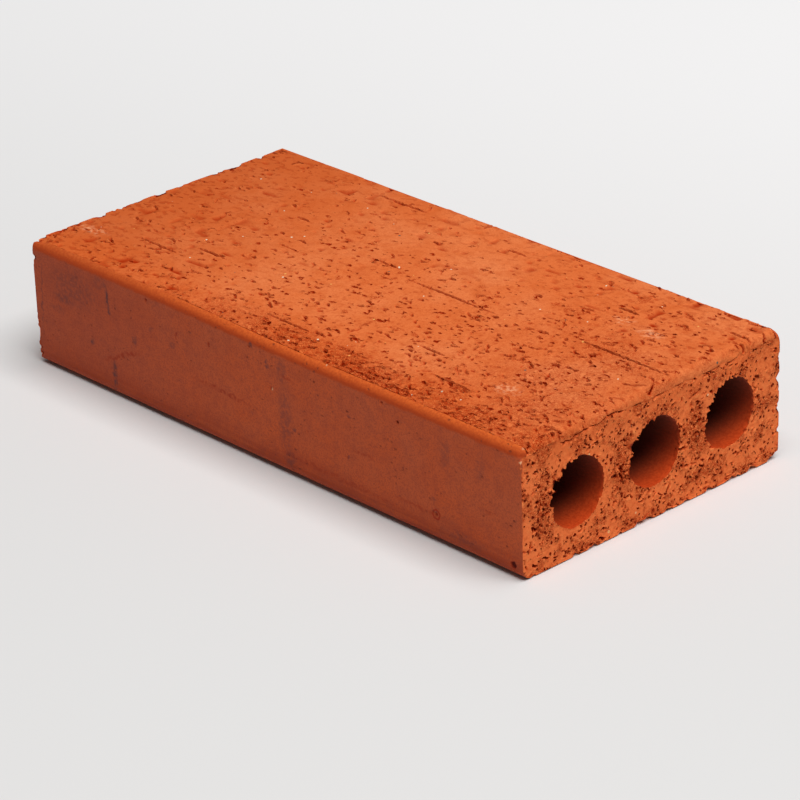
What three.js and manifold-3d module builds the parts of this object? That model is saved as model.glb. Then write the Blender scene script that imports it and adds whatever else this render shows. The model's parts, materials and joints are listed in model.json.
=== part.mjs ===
// A fired clay paving brick: one piece of extruded, wire-cut clay.
//
// The clay leaves the die as a column with rounded arrises and a row of round cores along its length.
// A blade then scrapes the upper face, which leaves a torn lip along each side. A wire cuts the column
// into bricks from above. The end that was free to give has its upper arris rolled over, and the other
// end, which the column held, is cut square.
//
// Millimetres, +Z up. X runs along the column, Y across it. The origin is the centre of the bed face.

import * as THREE from 'three';
import { mergeVertices } from 'three/addons/utils/BufferGeometryUtils.js';
import Module from 'manifold-3d';

// The column, as fired
const LENGTH = 200; // from one wire-cut end to the other
const WIDTH = 100; // across the die
const HEIGHT = 39; // from the bed face to the scraped face
const ARRIS_RADIUS = 3; // the die's corners, along all four long arrises
const LIP_HEIGHT = 0.2; // torn edge of the scraped face, standing over the smooth arris

// The cores
const CORE_COUNT = 3;
const CORE_DIAMETER = 20;
const CORE_WEB = 9.5; // clay between one core and the next
const CORE_ROW_TILT = THREE.MathUtils.degToRad(2); // the row climbs towards +Y, as its bridge sat in the die

// The rolled upper arris of the wire-cut end at +X
const ROLL_DROP = 2.6; // how far it reaches down the end
const ROLL_SETBACK = 2; // and how far it reaches back along the scraped face

// The chip at one upper corner: a flake lost from the scraped face
const CHIP_LENGTH = 6; // along X
const CHIP_WIDTH = 4.5; // along Y
const CHIP_DEPTH = 1.1;

// Fineness of the round forms
const ARRIS_SEGMENTS = 8; // to a quarter turn
const CORE_SEGMENTS = 48;
const CHIP_SEGMENTS = 16;
const CUT_CLEARANCE = 5; // how far a cutting solid runs past what it cuts

const wasm = await Module();
wasm.setup();

// A closed three.js geometry as a solid that can be joined and cut.
function toSolid(geometry) {
  const bare = geometry.clone();
  bare.deleteAttribute('normal');
  bare.deleteAttribute('uv');
  const merged = mergeVertices(bare);
  return new wasm.Manifold(new wasm.Mesh({
    numProp: 3,
    vertProperties: new Float32Array(merged.attributes.position.array),
    triVerts: new Uint32Array(merged.index.array),
  }));
}

// A solid as a three.js geometry with flat facets.
function toGeometry(solid) {
  const mesh = solid.getMesh();
  const indexed = new THREE.BufferGeometry();
  indexed.setAttribute('position', new THREE.BufferAttribute(mesh.vertProperties, 3));
  indexed.setIndex(new THREE.BufferAttribute(mesh.triVerts, 1));
  const geometry = indexed.toNonIndexed();
  geometry.computeVertexNormals();
  return geometry;
}

// An outline drawn in the YZ plane, run along X and centred on the origin's X.
function alongX(outline, length, curveSegments) {
  const geometry = new THREE.ExtrudeGeometry(outline, {
    depth: length,
    bevelEnabled: false,
    curveSegments,
  });
  geometry.translate(0, 0, -length / 2);
  geometry.rotateX(Math.PI / 2);
  geometry.rotateZ(Math.PI / 2);
  return geometry;
}

// An outline drawn in the XZ plane, run along Y and centred on the origin's Y.
function alongY(outline, length, curveSegments) {
  const geometry = new THREE.ExtrudeGeometry(outline, {
    depth: length,
    bevelEnabled: false,
    curveSegments,
  });
  geometry.translate(0, 0, -length / 2);
  geometry.rotateX(Math.PI / 2);
  return geometry;
}

// The die's section. The upper arcs stop short where the scraped face's torn lip overhangs them.
function columnOutline() {
  const side = WIDTH / 2;
  const arcCentreY = side - ARRIS_RADIUS;
  const lipAngle = Math.asin((ARRIS_RADIUS - LIP_HEIGHT) / ARRIS_RADIUS);
  const lipY = arcCentreY + ARRIS_RADIUS * Math.cos(lipAngle);
  const upperArcZ = HEIGHT - ARRIS_RADIUS;

  const outline = new THREE.Shape();
  outline.moveTo(-arcCentreY, 0);
  outline.absarc(arcCentreY, ARRIS_RADIUS, ARRIS_RADIUS, -Math.PI / 2, 0, false);
  outline.absarc(arcCentreY, upperArcZ, ARRIS_RADIUS, 0, lipAngle, false);
  outline.lineTo(lipY, HEIGHT);
  outline.lineTo(-lipY, HEIGHT);
  outline.absarc(-arcCentreY, upperArcZ, ARRIS_RADIUS, Math.PI - lipAngle, Math.PI, false);
  outline.absarc(-arcCentreY, ARRIS_RADIUS, ARRIS_RADIUS, Math.PI, 1.5 * Math.PI, false);
  return outline;
}

function column() {
  return toSolid(alongX(columnOutline(), LENGTH + 2 * CUT_CLEARANCE, ARRIS_SEGMENTS));
}

// What the wire leaves of the column, seen from the side: square at -X, rolled over on top at +X.
function wireCutOutline() {
  const end = LENGTH / 2;
  const below = -CUT_CLEARANCE;

  const outline = new THREE.Shape();
  outline.moveTo(-end, below);
  outline.lineTo(end, below);
  outline.absellipse(
    end - ROLL_SETBACK, HEIGHT - ROLL_DROP, ROLL_SETBACK, ROLL_DROP, 0, Math.PI / 2, false, 0,
  );
  outline.lineTo(-end, HEIGHT);
  return outline;
}

function wireCut() {
  return toSolid(alongY(wireCutOutline(), WIDTH + 2 * CUT_CLEARANCE, ARRIS_SEGMENTS));
}

// Each core's rod runs right through both ends. The row is centred in the section.
function coreRods() {
  const pitch = CORE_DIAMETER + CORE_WEB;
  const rods = [];
  for (let i = 0; i < CORE_COUNT; i += 1) {
    const alongRow = (i - (CORE_COUNT - 1) / 2) * pitch;
    const rod = new THREE.CylinderGeometry(
      CORE_DIAMETER / 2, CORE_DIAMETER / 2, LENGTH + 2 * CUT_CLEARANCE, CORE_SEGMENTS,
    );
    rod.rotateZ(Math.PI / 2);
    rod.translate(
      0,
      alongRow * Math.cos(CORE_ROW_TILT),
      HEIGHT / 2 + alongRow * Math.sin(CORE_ROW_TILT),
    );
    rods.push(toSolid(rod));
  }
  return rods;
}

// The flake left a shallow shell-shaped hollow, deepest at the corner itself.
function cornerChip() {
  const chip = new THREE.SphereGeometry(1, CHIP_SEGMENTS, CHIP_SEGMENTS / 2);
  chip.scale(CHIP_LENGTH, CHIP_WIDTH, CHIP_DEPTH);
  chip.translate(-LENGTH / 2, -WIDTH / 2, HEIGHT);
  return toSolid(chip);
}

function brick() {
  let solid = column().intersect(wireCut());
  for (const rod of coreRods()) {
    solid = solid.subtract(rod);
  }
  solid = solid.subtract(cornerChip());

  const firedClay = new THREE.MeshStandardMaterial({
    name: 'fired_clay',
    color: 0xc25e33,
    roughness: 0.92,
    metalness: 0,
  });
  const mesh = new THREE.Mesh(toGeometry(solid), firedClay);
  mesh.name = 'brick';
  return mesh;
}

const group = new THREE.Group();
group.add(brick());

export default group;
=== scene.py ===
# %% [markdown]
# # A fired clay brick
#
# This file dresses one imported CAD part, a flat clay paving brick, for a picture. The CAD body fixes
# the size and the place. What is made here is its skin: clay that was pushed through a steel die,
# scraped on top, cut by a wire at both ends and then fired.
#
# The brick is one closed mesh. Relief down to about a millimetre is moved into the mesh itself, and
# what is finer is bump and colour in the materials.

# %% Load the frame
import json
import math

import bpy
import numpy as np
from mathutils import Matrix, Vector


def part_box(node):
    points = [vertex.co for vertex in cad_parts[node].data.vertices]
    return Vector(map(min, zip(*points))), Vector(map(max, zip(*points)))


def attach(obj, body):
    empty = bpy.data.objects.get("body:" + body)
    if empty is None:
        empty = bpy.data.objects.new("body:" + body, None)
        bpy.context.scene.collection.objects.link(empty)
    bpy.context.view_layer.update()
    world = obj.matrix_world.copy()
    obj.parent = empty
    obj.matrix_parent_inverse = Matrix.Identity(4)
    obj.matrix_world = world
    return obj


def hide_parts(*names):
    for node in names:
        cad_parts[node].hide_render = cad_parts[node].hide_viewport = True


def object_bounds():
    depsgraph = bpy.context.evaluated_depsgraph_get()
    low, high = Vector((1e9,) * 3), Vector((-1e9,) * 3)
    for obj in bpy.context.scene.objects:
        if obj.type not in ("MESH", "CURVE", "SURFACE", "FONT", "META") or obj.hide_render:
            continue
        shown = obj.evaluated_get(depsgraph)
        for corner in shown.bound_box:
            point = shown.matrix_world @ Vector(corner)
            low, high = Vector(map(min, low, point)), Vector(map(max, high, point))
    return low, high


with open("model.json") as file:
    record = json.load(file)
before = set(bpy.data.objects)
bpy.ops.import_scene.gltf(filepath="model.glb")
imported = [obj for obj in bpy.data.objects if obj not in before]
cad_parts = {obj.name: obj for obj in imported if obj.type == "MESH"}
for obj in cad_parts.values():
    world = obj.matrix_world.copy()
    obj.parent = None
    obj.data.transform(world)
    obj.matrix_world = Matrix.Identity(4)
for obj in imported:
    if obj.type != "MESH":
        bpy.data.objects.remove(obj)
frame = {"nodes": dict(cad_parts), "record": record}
cad_low, cad_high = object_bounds()
MM = 0.001  # the mesh is worked out in millimetres and handed to Blender in metres
print(f"CAD box in metres: {list(cad_low)} to {list(cad_high)}")

# %% Sizes that the frame gives
low, high = (np.array(corner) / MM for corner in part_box("brick"))
LENGTH, WIDTH, HEIGHT = high - low
print(f"brick {LENGTH:.1f} x {WIDTH:.1f} x {HEIGHT:.1f} mm")

core_axes = []  # (y, z) of each core's axis
for opening in frame["record"]["physics"]["openings"]:
    box = np.array(opening["box_m"]) / MM
    core_axes.append(box.mean(axis=0)[1:])
cad_points = np.array([v.co for v in frame["nodes"]["brick"].data.vertices]) / MM
CORE_RADIUS = min(np.hypot(*(cad_points[:, 1:] - axis).T).min() for axis in core_axes)
print(f"{len(core_axes)} cores of {2 * CORE_RADIUS:.1f} mm, at y = {[round(y, 1) for y, z in core_axes]}")

# %% [markdown]
# ## Camera
#
# A long lens from about a metre away keeps the brick's edges nearly parallel, as in a catalogue
# picture. The camera is placed by where it stands and what it looks at, then rolled a little.

# %% Camera
CAMERA_PLACE = Vector((0.69089, -0.63886, 0.44808))  # metres
CAMERA_AIM = Vector((0.02732, -0.02403, 0.0195))
CAMERA_ROLL = math.radians(-1.8175)
LENS, SENSOR_WIDTH = 164.3, 36  # mm

camera = bpy.data.objects.new("camera", bpy.data.cameras.new("camera"))
camera.data.lens = LENS
camera.data.sensor_width = SENSOR_WIDTH
camera.location = CAMERA_PLACE
camera.rotation_mode = "QUATERNION"
facing = (CAMERA_AIM - CAMERA_PLACE).to_track_quat("-Z", "Y")
camera.rotation_quaternion = facing @ Matrix.Rotation(CAMERA_ROLL, 3, "Z").to_quaternion()
bpy.context.scene.collection.objects.link(camera)
bpy.context.scene.camera = camera
bpy.context.scene.view_settings.view_transform = "Standard"
print(f"camera {(CAMERA_AIM - CAMERA_PLACE).length:.2f} m from what it looks at")

# %% [markdown]
# ## The brick's form
#
# The column that leaves the die has rounded arrises. A blade scrapes its upper face, and the torn
# clay stands over the smooth arris as a small lip. The wire then cuts the ends: the one at +X is
# rolled over along its upper arris, and the other is square.
#
# A subdivided box would round every edge alike, and a boolean would give long thin faces that can't
# carry relief. So the skin is laid as even grids that share their border points: one round the
# column, one over each end about each core, and one down each core.

# %% Sizes of the section
ARRIS_RADIUS = 3.0  # these four are the CAD part's own sizes, in mm
LIP_HEIGHT = 0.2
ROLL_DROP = 2.6
ROLL_SETBACK = 2.0

FINE = 0.25  # mm between points where the clay is torn
COARSE = 0.5  # and where the die left it smooth

SCRAPED, SKIN, BED, CUT, CORE = range(5)  # the brick's five kinds of surface
print(f"points {FINE} mm apart where the clay is torn, {COARSE} mm elsewhere")


# %% Lines and arcs of points
def line(start, end, spacing):
    """Evenly spaced points from start up to, but not including, end."""
    steps = max(1, round(math.dist(start, end) / spacing))
    shares = np.arange(steps)[:, None] / steps
    return np.array(start) + shares * (np.array(end) - np.array(start))


def arc(centre, start, end, spacing):
    """Points on an arc of the arris radius, between two angles in degrees, without the last."""
    steps = max(2, round(math.radians(abs(end - start)) * ARRIS_RADIUS / spacing))
    angles = np.radians(start + (end - start) * np.arange(steps) / steps)
    return np.array(centre) + ARRIS_RADIUS * np.stack([np.cos(angles), np.sin(angles)], axis=1)


# %% Section of the column
def section():
    """The column's outline in Y and Z, anticlockwise seen from +X, and each point's kind of surface."""
    inner = WIDTH / 2 - ARRIS_RADIUS
    upper = HEIGHT - ARRIS_RADIUS
    lip_angle = math.degrees(math.asin((ARRIS_RADIUS - LIP_HEIGHT) / ARRIS_RADIUS))
    lip_y = inner + ARRIS_RADIUS * math.cos(math.radians(lip_angle))
    lip_z = HEIGHT - LIP_HEIGHT
    runs = [
        (BED, line((-inner, 0), (inner, 0), COARSE)),
        (SKIN, arc((inner, ARRIS_RADIUS), -90, 0, COARSE)),
        (SKIN, line((WIDTH / 2, ARRIS_RADIUS), (WIDTH / 2, upper), COARSE)),
        (SKIN, arc((inner, upper), 0, lip_angle, FINE)),
        (SCRAPED, line((lip_y, lip_z), (lip_y, HEIGHT), FINE)),
        (SCRAPED, line((lip_y, HEIGHT), (-lip_y, HEIGHT), FINE)),
        (SCRAPED, line((-lip_y, HEIGHT), (-lip_y, lip_z), FINE)),
        (SKIN, arc((-inner, upper), 180 - lip_angle, 180, FINE)),
        (SKIN, line((-WIDTH / 2, upper), (-WIDTH / 2, ARRIS_RADIUS), COARSE)),
        (SKIN, arc((-inner, ARRIS_RADIUS), 180, 270, COARSE)),
    ]
    outline = np.concatenate([points for kind, points in runs])
    kinds = np.concatenate([np.full(len(points), kind) for kind, points in runs])
    return outline, kinds


outline, outline_kinds = section()
print(f"section of {len(outline)} points")

# %% A mesh gathered grid by grid
points, kinds, quads, quad_kinds = [], [], [], []


def add_points(new_points, new_kinds):
    """Keeps an array of points and returns their numbers, in the array's own rows and columns."""
    first = sum(len(p) for p in points)
    flat = np.asarray(new_points, float).reshape(-1, 3)
    points.append(flat)
    kinds.append(np.broadcast_to(new_kinds, np.shape(new_points)[:-1]).ravel())
    return np.arange(first, first + len(flat)).reshape(np.shape(new_points)[:-1])


def place_of(number):
    """Place of a point that is already kept."""
    for block in points:
        if number < len(block):
            return block[number]
        number -= len(block)


def add_grid(numbers, column_kinds, flip=False):
    """Faces between neighbouring rows of a grid whose columns close on themselves."""
    beside = np.roll(numbers, -1, axis=1)
    corners = [numbers[:-1], numbers[1:], beside[1:], beside[:-1]]
    faces = np.stack(corners[::-1] if flip else corners, axis=-1)
    quads.append(faces.reshape(-1, 4))
    quad_kinds.append(np.broadcast_to(column_kinds, faces.shape[:2]).ravel())


# %% Skin round the column
END_X = LENGTH / 2
ROLL_STEPS = 12
PRESSED = 9.0  # mm of height at the top that the wire presses down as it rolls the arris

roll_angles = np.radians(np.linspace(0, 90, ROLL_STEPS + 1))
roll_x = END_X - ROLL_SETBACK + ROLL_SETBACK * np.sin(roll_angles)
straight = np.linspace(-END_X, roll_x[0], round(LENGTH / (FINE * 1.1)))
stations = np.concatenate([straight[:-1], roll_x])

into_roll = np.clip((stations - roll_x[0]) / ROLL_SETBACK, 0, 1)
drop = ROLL_DROP * (1 - np.sqrt(1 - into_roll**2))
share = np.clip((outline[:, 1] - HEIGHT + PRESSED) / PRESSED, 0, 1)

skin = np.empty((len(stations), len(outline), 3))
skin[..., 0] = stations[:, None]
skin[..., 1] = outline[:, 0]
skin[..., 2] = outline[:, 1] - drop[:, None] * share
skin_numbers = add_points(skin, outline_kinds)
add_grid(skin_numbers, outline_kinds, flip=True)
print(f"column skin of {skin_numbers.size} points")

# %% Each core's share of an end
RINGS = 54  # from a core's mouth out to the border of its share
RUNG_STEPS = round(HEIGHT / COARSE)  # up the line between two cores, the same at both ends
RUNG_SHARES = np.arange(1, RUNG_STEPS)[:, None] / RUNG_STEPS
# The lines between two cores stand at these places in y
divides = [(axis[0] + beside[0]) / 2 for axis, beside in zip(core_axes, core_axes[1:])]
on_bed = np.flatnonzero(outline_kinds == BED)
on_top = np.flatnonzero((outline_kinds == SCRAPED) & (outline[:, 1] == HEIGHT))


def nearest(candidates, y):
    """Which of some points of the outline lies nearest to a place in y."""
    return candidates[np.argmin(np.abs(outline[candidates, 0] - y))]


def cell_borders(loop):
    """For each core, the numbers round its share of an end, anticlockwise seen from +X."""
    lower = [nearest(on_bed, y) for y in divides]
    upper = [nearest(on_top, y) for y in divides]
    rungs = []
    for below, above in zip(lower, upper):
        start, end = place_of(loop[below]), place_of(loop[above])
        rungs.append(add_points(start + RUNG_SHARES * (end - start), CUT))
    first = np.concatenate([loop[upper[0]:], loop[:lower[0] + 1], rungs[0]])
    last = np.concatenate([loop[lower[-1]:upper[-1] + 1], rungs[-1][::-1]])
    between = [
        np.concatenate([
            loop[lower[i]:lower[i + 1] + 1], rungs[i + 1],
            loop[upper[i + 1]:upper[i] + 1], rungs[i][::-1],
        ])
        for i in range(len(divides) - 1)
    ]
    return [first, *between, last]


print(f"an end is divided at y = {[round(y, 1) for y in divides]}")


# %% Ends, laid about each core
def lay_end(loop, flip):
    """Rings from each core's mouth out to the end's edge. Returns the numbers round each mouth."""
    mouths = []
    for border, (y, z) in zip(cell_borders(loop), core_axes):
        rim = np.array([place_of(n) for n in border])
        out = rim[:, 1:] - (y, z)
        mouth = rim.copy()
        mouth[:, 1:] = (y, z) + CORE_RADIUS * out / np.linalg.norm(out, axis=1)[:, None]
        shares = np.arange(RINGS)[:, None, None] / RINGS
        rings = add_points(mouth + shares * (rim - mouth), CUT)
        add_grid(np.vstack([rings, border]), CUT, flip)
        mouths.append(rings[0])
    return mouths


left_mouths = lay_end(skin_numbers[0], flip=True)
right_mouths = lay_end(skin_numbers[-1], flip=False)
print(f"{len(left_mouths) + len(right_mouths)} mouths")

# %% Walls of the cores
MOUTH_DEPTH = 4.0  # mm of each wall, next to its mouth, that gets close rows
FAR_ROWS = 30  # from there to the middle of the brick
near_mouth = np.arange(0, MOUTH_DEPTH, COARSE)[1:]
depths = np.concatenate([near_mouth, np.linspace(MOUTH_DEPTH, END_X, FAR_ROWS)])
wall_x = np.concatenate([depths - END_X, (END_X - depths[:-1])[::-1]])
for left, right in zip(left_mouths, right_mouths):
    ring = np.array([place_of(n) for n in left])
    wall = np.repeat(ring[None], len(wall_x), axis=0)
    wall[..., 0] = wall_x[:, None]
    rows = add_points(wall, CORE)
    add_grid(np.vstack([left, rows, right]), CORE)

points = np.concatenate(points)
kinds = np.concatenate(kinds)
quads = np.concatenate(quads)
quad_kinds = np.concatenate(quad_kinds)
print(f"{len(points)} points and {len(quads)} faces")


# %% Mesh from arrays
def mesh_from(name, places, faces, face_kinds):
    """A Blender mesh in metres from places in millimetres."""
    mesh = bpy.data.meshes.new(name)
    mesh.vertices.add(len(places))
    mesh.vertices.foreach_set("co", (places * MM).astype(np.float32).ravel())
    mesh.loops.add(faces.size)
    mesh.loops.foreach_set("vertex_index", faces.astype(np.int32).ravel())
    mesh.polygons.add(len(faces))
    mesh.polygons.foreach_set("loop_start", np.arange(0, faces.size, faces.shape[1], dtype=np.int32))
    mesh.polygons.foreach_set("material_index", face_kinds.astype(np.int32))
    mesh.update(calc_edges=True)
    return mesh


plain = mesh_from("plain_brick", points, quads, quad_kinds)
normals = np.empty(len(points) * 3, np.float32)
plain.vertex_normals.foreach_get("vector", normals)
normals = normals.reshape(-1, 3)
outwards = (normals * (points - (0, 0, HEIGHT / 2))).sum(axis=1)
print(f"plain brick: {(outwards[kinds != CORE] > 0).mean():.0%} of its outer normals point out")

# %% [markdown]
# ## Relief of torn clay
#
# Clay that is dragged or cut while it is wet tears in short curved scars, each with one steep wall
# and one lifted lip, and between the scars it crumbles. A noise texture alone gives round pits, so
# the scars are drawn one by one on a fine raster for each torn face, and the mesh reads its depth
# from there. What varies smoothly, such as the waviness of a face, is noise worked out at the points
# themselves.

# %% Smooth noise
# Large odd numbers and a 32-bit mask stir a place's bits until neighbours have nothing in common
PLACE_STIR = np.array([73856093, 19349663, 83492791])
SEED_STIR, LAST_STIR = 2654435761, 1274126177
MASK = 2**32 - 1


def lattice_value(cells, seed):
    """A repeatable number from -1 to 1 for each whole-numbered place."""
    mixed = (cells @ PLACE_STIR + seed * SEED_STIR) & MASK
    mixed = ((mixed ^ (mixed >> 13)) * LAST_STIR) & MASK
    return (mixed ^ (mixed >> 16)) / 2**31 - 1


def noise(places, size, seed):
    """Smooth values from -1 to 1 at places in mm, with features of one size in mm.

    Each use has a seed of its own, so that no two patterns coincide.
    """
    cells = np.floor(places / size)
    share = places / size - cells
    share = share * share * (3 - 2 * share)
    cells = cells.astype(np.int64)
    total = np.zeros(len(places))
    for corner in np.ndindex(2, 2, 2):
        weight = np.prod(np.where(corner, share, 1 - share), axis=1)
        total += weight * lattice_value(cells + corner, seed)
    return total


def smooth_step(value, start, end):
    """0 up to start, 1 from end on, and a soft rise between."""
    share = np.clip((value - start) / (end - start), 0, 1)
    return share * share * (3 - 2 * share)


# %% Raster of tears
class TornFace:
    """Depth in mm of the tears over a flat face. Its two directions are called u and v."""

    STEP = 0.125  # mm
    RAMP = 1.7  # half widths that the shallow side of a tear takes up, of the two that it is wide
    FAR_LIP, NEAR_LIP, LIP_WIDTH = 1.2, -1.5, 0.6  # where each lip stands and its width, as above

    def __init__(self, low, high):
        self.low = np.array(low, float)
        size = np.ceil((np.array(high) - low) / self.STEP).astype(int) + 1
        self.depth = np.zeros(size[::-1])
        self.lift = np.zeros(size[::-1])

    def tear(self, place, length, width, depth, angle=0.0, bend=0.0, lip=0.3):
        """One scar: a curved cut that tapers to its ends, steep on its far side, with a lifted lip."""
        reach = length / 2 + 3 * width  # the lips fade within it
        start = np.maximum(((place - reach - self.low) / self.STEP).astype(int), 0)
        end = ((place + reach - self.low) / self.STEP).astype(int) + 1
        window = (slice(start[1], max(end[1], 0)), slice(start[0], max(end[0], 0)))
        rows, columns = self.depth[window].shape
        v = (start[1] + np.arange(rows))[:, None] * self.STEP + self.low[1] - place[1]
        u = (start[0] + np.arange(columns)) * self.STEP + self.low[0] - place[0]
        along = u * math.cos(angle) + v * math.sin(angle)
        across = v * math.cos(angle) - u * math.sin(angle) - bend * along**2
        taper = np.sqrt(np.clip(1 - (2 * along / length) ** 2, 0, 1))
        offset = across / (width / 2 * np.maximum(taper, 0.05))  # half widths, with blunt tips
        slope = np.clip((offset + 1) / self.RAMP, 0, 1) ** 1.2 * (offset < 1)
        cut = depth * np.sqrt(taper) * slope
        far_lip = np.exp(-(((offset - self.FAR_LIP) / self.LIP_WIDTH) ** 2)) * (offset >= 1)
        near_lip = np.exp(-(((offset - self.NEAR_LIP) / self.LIP_WIDTH) ** 2))
        lifted = lip * depth * taper * np.maximum(far_lip, near_lip)
        self.depth[window] = np.maximum(self.depth[window], cut)
        self.lift[window] = np.maximum(self.lift[window], lifted)

    def at(self, u, v):
        """Depth at each place, below 0 where a lip stands up."""
        column = np.clip((u - self.low[0]) / self.STEP, 0, self.depth.shape[1] - 1.001)
        row = np.clip((v - self.low[1]) / self.STEP, 0, self.depth.shape[0] - 1.001)
        i, j = row.astype(int), column.astype(int)
        a, b = row - i, column - j
        face = self.depth - self.lift
        return (
            (1 - a) * ((1 - b) * face[i, j] + b * face[i, j + 1])
            + a * ((1 - b) * face[i + 1, j] + b * face[i + 1, j + 1])
        )


# %% Tears of the scraped face
rng = np.random.default_rng(31)


def scatter(count, low, high, density):
    """Random places in a box. Density, from 0 to 1, says how likely a place is kept."""
    kept = []
    while len(kept) < count:
        place = rng.uniform(low, high)
        if rng.random() < density(*place):
            kept.append(place)
    return kept


def crumbled_top(x, y):
    """0 to 1: the blade tore the near long edge and the right end most."""
    near_edge = np.exp(-((y + 47) / 9) ** 2) * (0.45 + 0.55 * smooth_step(x, -70, 40))
    right = smooth_step(x, 15, 85) * (0.25 + 0.45 * smooth_step(y, 15, -35))
    return np.clip(near_edge + right, 0, 1)


def scraped_density(x, y):
    """Fewer tears on a smooth patch beyond the middle, and toward the left and far edges."""
    smooth_patch = np.exp(-(((x - 3) / 26) ** 2 + ((y - 30) / 15) ** 2))
    softer = np.maximum(smooth_step(x, 10, -70), smooth_step(y, 0, 40))
    return np.clip(0.3 + 0.6 * crumbled_top(x, y) - 0.25 * smooth_patch - 0.15 * softer, 0.04, 1)


TOP_TEARS = 820
face_corner = np.round([LENGTH / 2, WIDTH / 2], 3)
scraped = TornFace(-face_corner, face_corner)
for place in scatter(TOP_TEARS, -face_corner, face_corner, scraped_density):
    length = float(np.clip(rng.lognormal(0.65, 0.45), 1.2, 5))  # mm, most of them about 2
    scraped.tear(
        place, length, width=rng.uniform(0.7, 1.25), depth=rng.uniform(0.4, 1.1),
        angle=rng.normal(0, 0.55), bend=rng.normal(0, 0.25), lip=rng.uniform(0.1, 0.4),
    )

# %% Grooves of dragged grains
DRAG_GROOVES = [  # start in x, place in y, length, width and depth, in mm
    (0, 4.5, 37, 0.8, 0.8), (65, 7.4, 34, 0.9, 1.1), (-60, -21, 13, 1.1, 0.9),
    (-78, -27.5, 17, 1.0, 0.8), (-11, -37.6, 18, 0.8, 0.9), (16, -38.4, 16, 0.7, 0.6),
    (50, -33.6, 17, 0.8, 0.9), (58, 30.4, 8, 1.1, 1.2), (35, -23.4, 10, 0.9, 0.8),
    (-56, 14, 6, 1.0, 0.9), (6, 38.5, 9, 0.9, 0.7), (-51, 42, 22, 1.0, 0.7), (91, 38.5, 9, 0.9, 0.9),
    (-45, -3, 8, 0.8, 0.6), (-15, 8, 10, 0.9, 0.8), (20, -46, 40, 0.8, 0.7),
]
for start, y, length, width, depth in DRAG_GROOVES:
    scraped.tear(
        np.array([start + length / 2, y]), length, width, depth, angle=rng.normal(0, 0.012), lip=0.3,
    )
print(f"scraped face: {(scraped.depth > 0.1).mean():.0%} torn")

# %% Tears of the wire-cut ends
CREASE_Z = HEIGHT - ROLL_DROP  # the rolled clay laps over the cut face along this line
CRUMBLED_BESIDE = 13.0  # mm to the left of each core's axis


def crumbled_end(y, z):
    """0 to 1: each core's left side is crumbled, where the wire pushed clay into the hole."""
    left_of_cores = [
        np.exp(-(((y - core_y + CRUMBLED_BESIDE) / 3.5) ** 2 + ((z - core_z) / 8) ** 2))
        for core_y, core_z in core_axes
    ]
    return np.clip(np.max(left_of_cores, axis=0) + 0.35 * smooth_step(z, 7, 1), 0, 1)


def cut_density(y, z):
    """Fewer tears in the band under the rolled arris, which the wire smeared shut."""
    smeared = smooth_step(z, CREASE_Z - 7, CREASE_Z - 3) * smooth_step(y, -38, -28)
    return (0.3 + 0.7 * crumbled_end(y, z)) * (1 - 0.75 * smeared)


END_TEARS = 380


def cut_end():
    """The tears of one wire-cut end, over Y and Z."""
    low, high = np.array([-face_corner[1], 0.0]), np.array([face_corner[1], HEIGHT])
    face = TornFace(low, high)
    for place in scatter(END_TEARS, low, high, cut_density):
        length = float(np.clip(rng.lognormal(0.25, 0.45), 0.9, 3.2))  # mm, most of them about 1.3
        face.tear(
            place, length, width=rng.uniform(0.6, 1.3), depth=rng.uniform(0.6, 1.5),
            angle=rng.normal(0.3, 0.9), bend=rng.normal(0, 0.3), lip=rng.uniform(0.1, 0.4),
        )
    return face


cut_faces = {1: cut_end(), -1: cut_end()}
print(f"cut end: {(cut_faces[1].depth > 0.1).mean():.0%} torn")

# %% Crease and cracks of the rolled arris
CREASE = [  # place in y, height over the crease, length and depth in mm, and angle
    (-33, -1.2, 5, 0.6, -0.15), (-29.5, -0.8, 5, 1.0, 0.25), (-26, -0.1, 4.5, 1.3, 0.12),
    (-22.5, 0.1, 5, 1.5, 0.0), (-19, 0.1, 5, 1.6, -0.1), (-15.5, 0.2, 5, 1.6, 0.12),
    (-12.5, 0.3, 3, 1.2, 0.3), (-7, 0.2, 4, 0.8, -0.1), (3, 0.1, 5, 0.8, 0.1), (9, 0.2, 4, 0.9, -0.2),
    (22, 0.1, 6, 0.8, 0.05), (31, 0.2, 5, 0.6, 0.1),
]
for y, above, length, depth, angle in CREASE:
    cut_faces[1].tear(np.array([y, CREASE_Z - 0.4 + above]), length, 0.8, depth, angle, 0.03, lip=0)

# Where the roll bent most, short cracks run up from the crease onto the scraped face
ROLL_CRACKS = [  # place in y, start in x and length in mm
    (-28.5, 97.0, 2.2), (-20, 97.0, 2.0), (-14, 96.0, 3.6), (-11.5, 95.4, 4.0), (2, 97.0, 2.0),
]
for y, start, length in ROLL_CRACKS:
    middle = np.array([start + length / 2, y])
    scraped.tear(middle, length, 0.6, 0.6, angle=rng.normal(0.1, 0.25), lip=0.1)
print(f"{len(CREASE)} stretches of crease, {len(ROLL_CRACKS)} cracks")

# %% [markdown]
# ## Moving the skin in
#
# Every point moves along its own normal by one depth, so faces, arrises and core walls stay joined.
# The depth is never below zero, which keeps the brick inside the box of the CAD body. How torn a
# point is goes with it as an attribute: from 1 at the floor of a tear to below 0 on a lifted lip. The
# materials read it to paint shade into the tears and a highlight onto the lips.

# %% Depth of the scraped face
x, y, z = points.T
depth = np.zeros(len(points))
torn = np.zeros(len(points))
SKIM = 0.2  # mm that the torn faces lie below the box, to leave room for lifted lips
TORN_FULL = 0.8  # mm of depth at which a tear counts as wholly torn

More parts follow.
